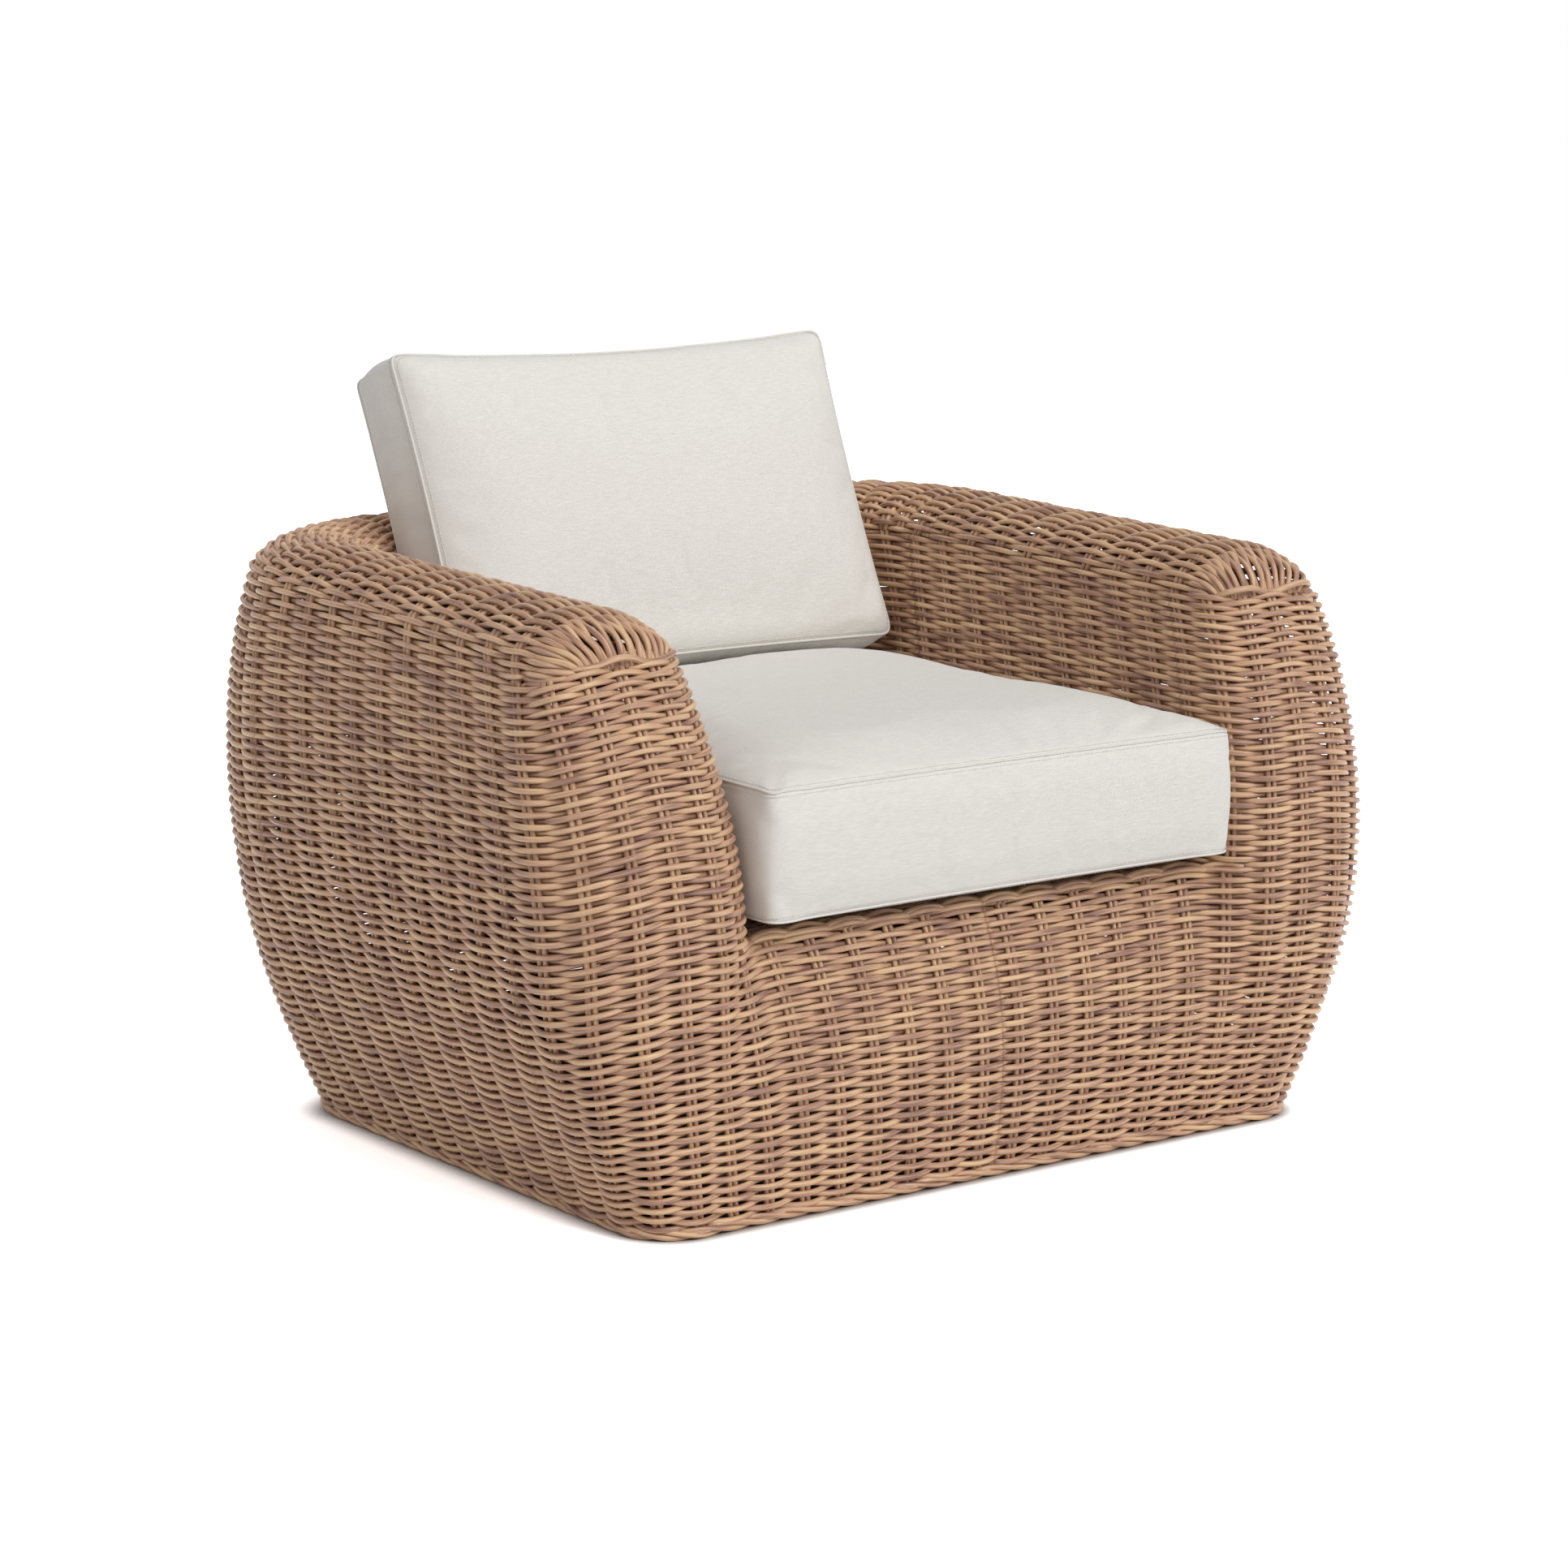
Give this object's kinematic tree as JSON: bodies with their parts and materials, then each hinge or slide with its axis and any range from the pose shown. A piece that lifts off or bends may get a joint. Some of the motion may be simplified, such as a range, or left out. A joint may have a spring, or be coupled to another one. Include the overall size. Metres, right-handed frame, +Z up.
{
  "type": "woven club chair",
  "caption": "Low garden club chair with a barrel-shaped woven body, wrap-around arms and back of one height, and loose box seat and back cushions",
  "frame": {"origin": "on the floor, under the middle of the chair's overall box", "axes": "+X to the viewer's right when facing the front, -Y is the front, +Z up; the chair is mirrored across the YZ plane"},
  "size_m": [1.034, 0.801, 0.7793],
  "materials": {
    "woven_strand": "round extruded resin strand, honey tan mixed with mauve brown, satin",
    "frame_tube": "brown powder coat, matt",
    "glide_nylon": "moulded, dark",
    "screw_steel": "zinc plated",
    "cushion_cloth": "outdoor cloth, fine twill, cream",
    "cushion_fill": "quick-dry foam in a fibre wrap"
  },
  "bodies": {
    "chair": {"apron_stiles": "frame_tube", "apron_weave": "woven_strand", "arm_arches_left": "frame_tube", "arm_arches_right": "frame_tube", "arm_crown_weave_left": "woven_strand", "arm_crown_weave_right": "woven_strand", "arm_front_weave_left": "woven_strand", "arm_front_weave_right": "woven_strand", "arm_rail_inner_left": "frame_tube", "arm_rail_inner_right": "frame_tube", "arm_rail_outer_left": "frame_tube", "arm_rail_outer_right": "frame_tube", "back_arches": "frame_tube", "back_crown_weave": "woven_strand", "back_rail_inner": "frame_tube", "back_rail_outer": "frame_tube", "back_ribs": "frame_tube", "foot_corner_bends": "frame_tube", "foot_cross_rail_left": "frame_tube", "foot_cross_rail_right": "frame_tube", "foot_rail_back": "frame_tube", "foot_rail_front": "frame_tube", "foot_rail_left": "frame_tube", "foot_rail_right": "frame_tube", "glide_screws": "screw_steel", "glides": "glide_nylon", "inner_back_ribs": "frame_tube", "inner_side_ribs_left": "frame_tube", "inner_side_ribs_right": "frame_tube", "inner_weave_back": "woven_strand", "inner_weave_left": "woven_strand", "inner_weave_right": "woven_strand", "nose_hoop_left": "frame_tube", "nose_hoop_right": "frame_tube", "nose_rib_left": "frame_tube", "nose_rib_right": "frame_tube", "outer_weave_back": "woven_strand", "outer_weave_left": "woven_strand", "outer_weave_right": "woven_strand", "seat_bars": "frame_tube", "seat_deck": "woven_strand", "seat_posts_left": "frame_tube", "seat_posts_right": "frame_tube", "seat_rail_back": "frame_tube", "seat_rail_front": "frame_tube", "seat_rail_left": "frame_tube", "seat_rail_right": "frame_tube", "side_ribs_left": "frame_tube", "side_ribs_right": "frame_tube"},
    "seat_cushion": {"seat_cushion_core": "cushion_fill", "seat_cushion_cover": "cushion_cloth"},
    "back_cushion": {"back_cushion_core": "cushion_fill", "back_cushion_cover": "cushion_cloth"}
  },
  "joints": [
    {"name": "seat_cushion_lift", "type": "slide", "parent": "chair", "child": "seat_cushion", "axis": [0, 0, 1], "range_m": [0, 0.36]},
    {"name": "back_cushion_lift", "type": "slide", "parent": "seat_cushion", "child": "back_cushion", "axis": [0, 0, 1], "range_m": [0, 0.3]}
  ]
}
